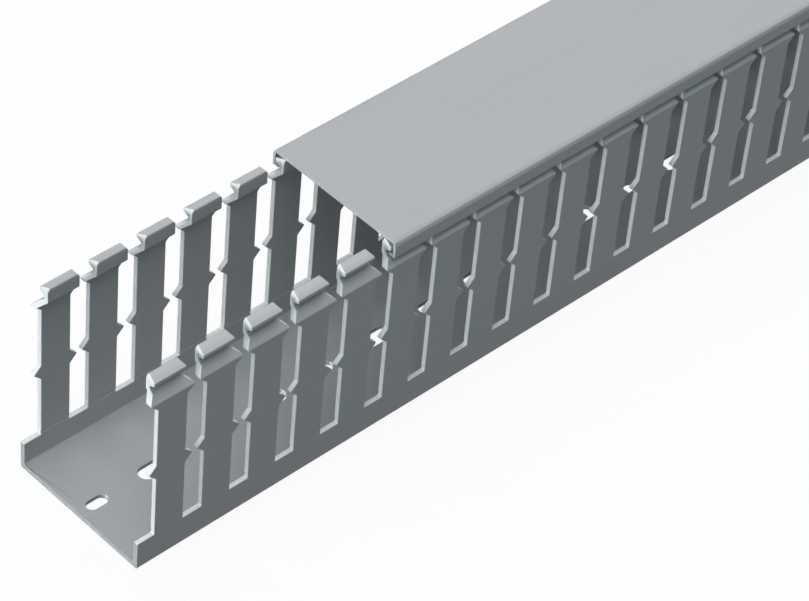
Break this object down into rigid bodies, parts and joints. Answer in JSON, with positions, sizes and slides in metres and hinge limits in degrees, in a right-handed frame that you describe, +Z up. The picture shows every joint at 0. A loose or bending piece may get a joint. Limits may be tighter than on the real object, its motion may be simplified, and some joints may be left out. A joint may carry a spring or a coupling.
{
  "type": "slotted wire duct",
  "caption": "Open-slot wiring duct: a trough with toothed finger walls, lips and floor slots, and a hooked cover slid partly back.",
  "frame": {"origin": "middle of the trough's underside", "axes": "+X along the duct, away from the open front end, +Y across it, +Z up out of the trough"},
  "size_m": [1.107, 0.06, 0.082],
  "materials": {
    "trough_plastic": "satin",
    "cover_plastic": "satin"
  },
  "bodies": {
    "trough": {"slotted_trough": "trough_plastic"},
    "cover": {"snap_cover": "cover_plastic"}
  },
  "joints": [
    {"name": "cover_slide", "type": "slide", "parent": "trough", "child": "cover", "axis": [1, 0, 0], "range_m": [-0.107, 0.85]}
  ]
}
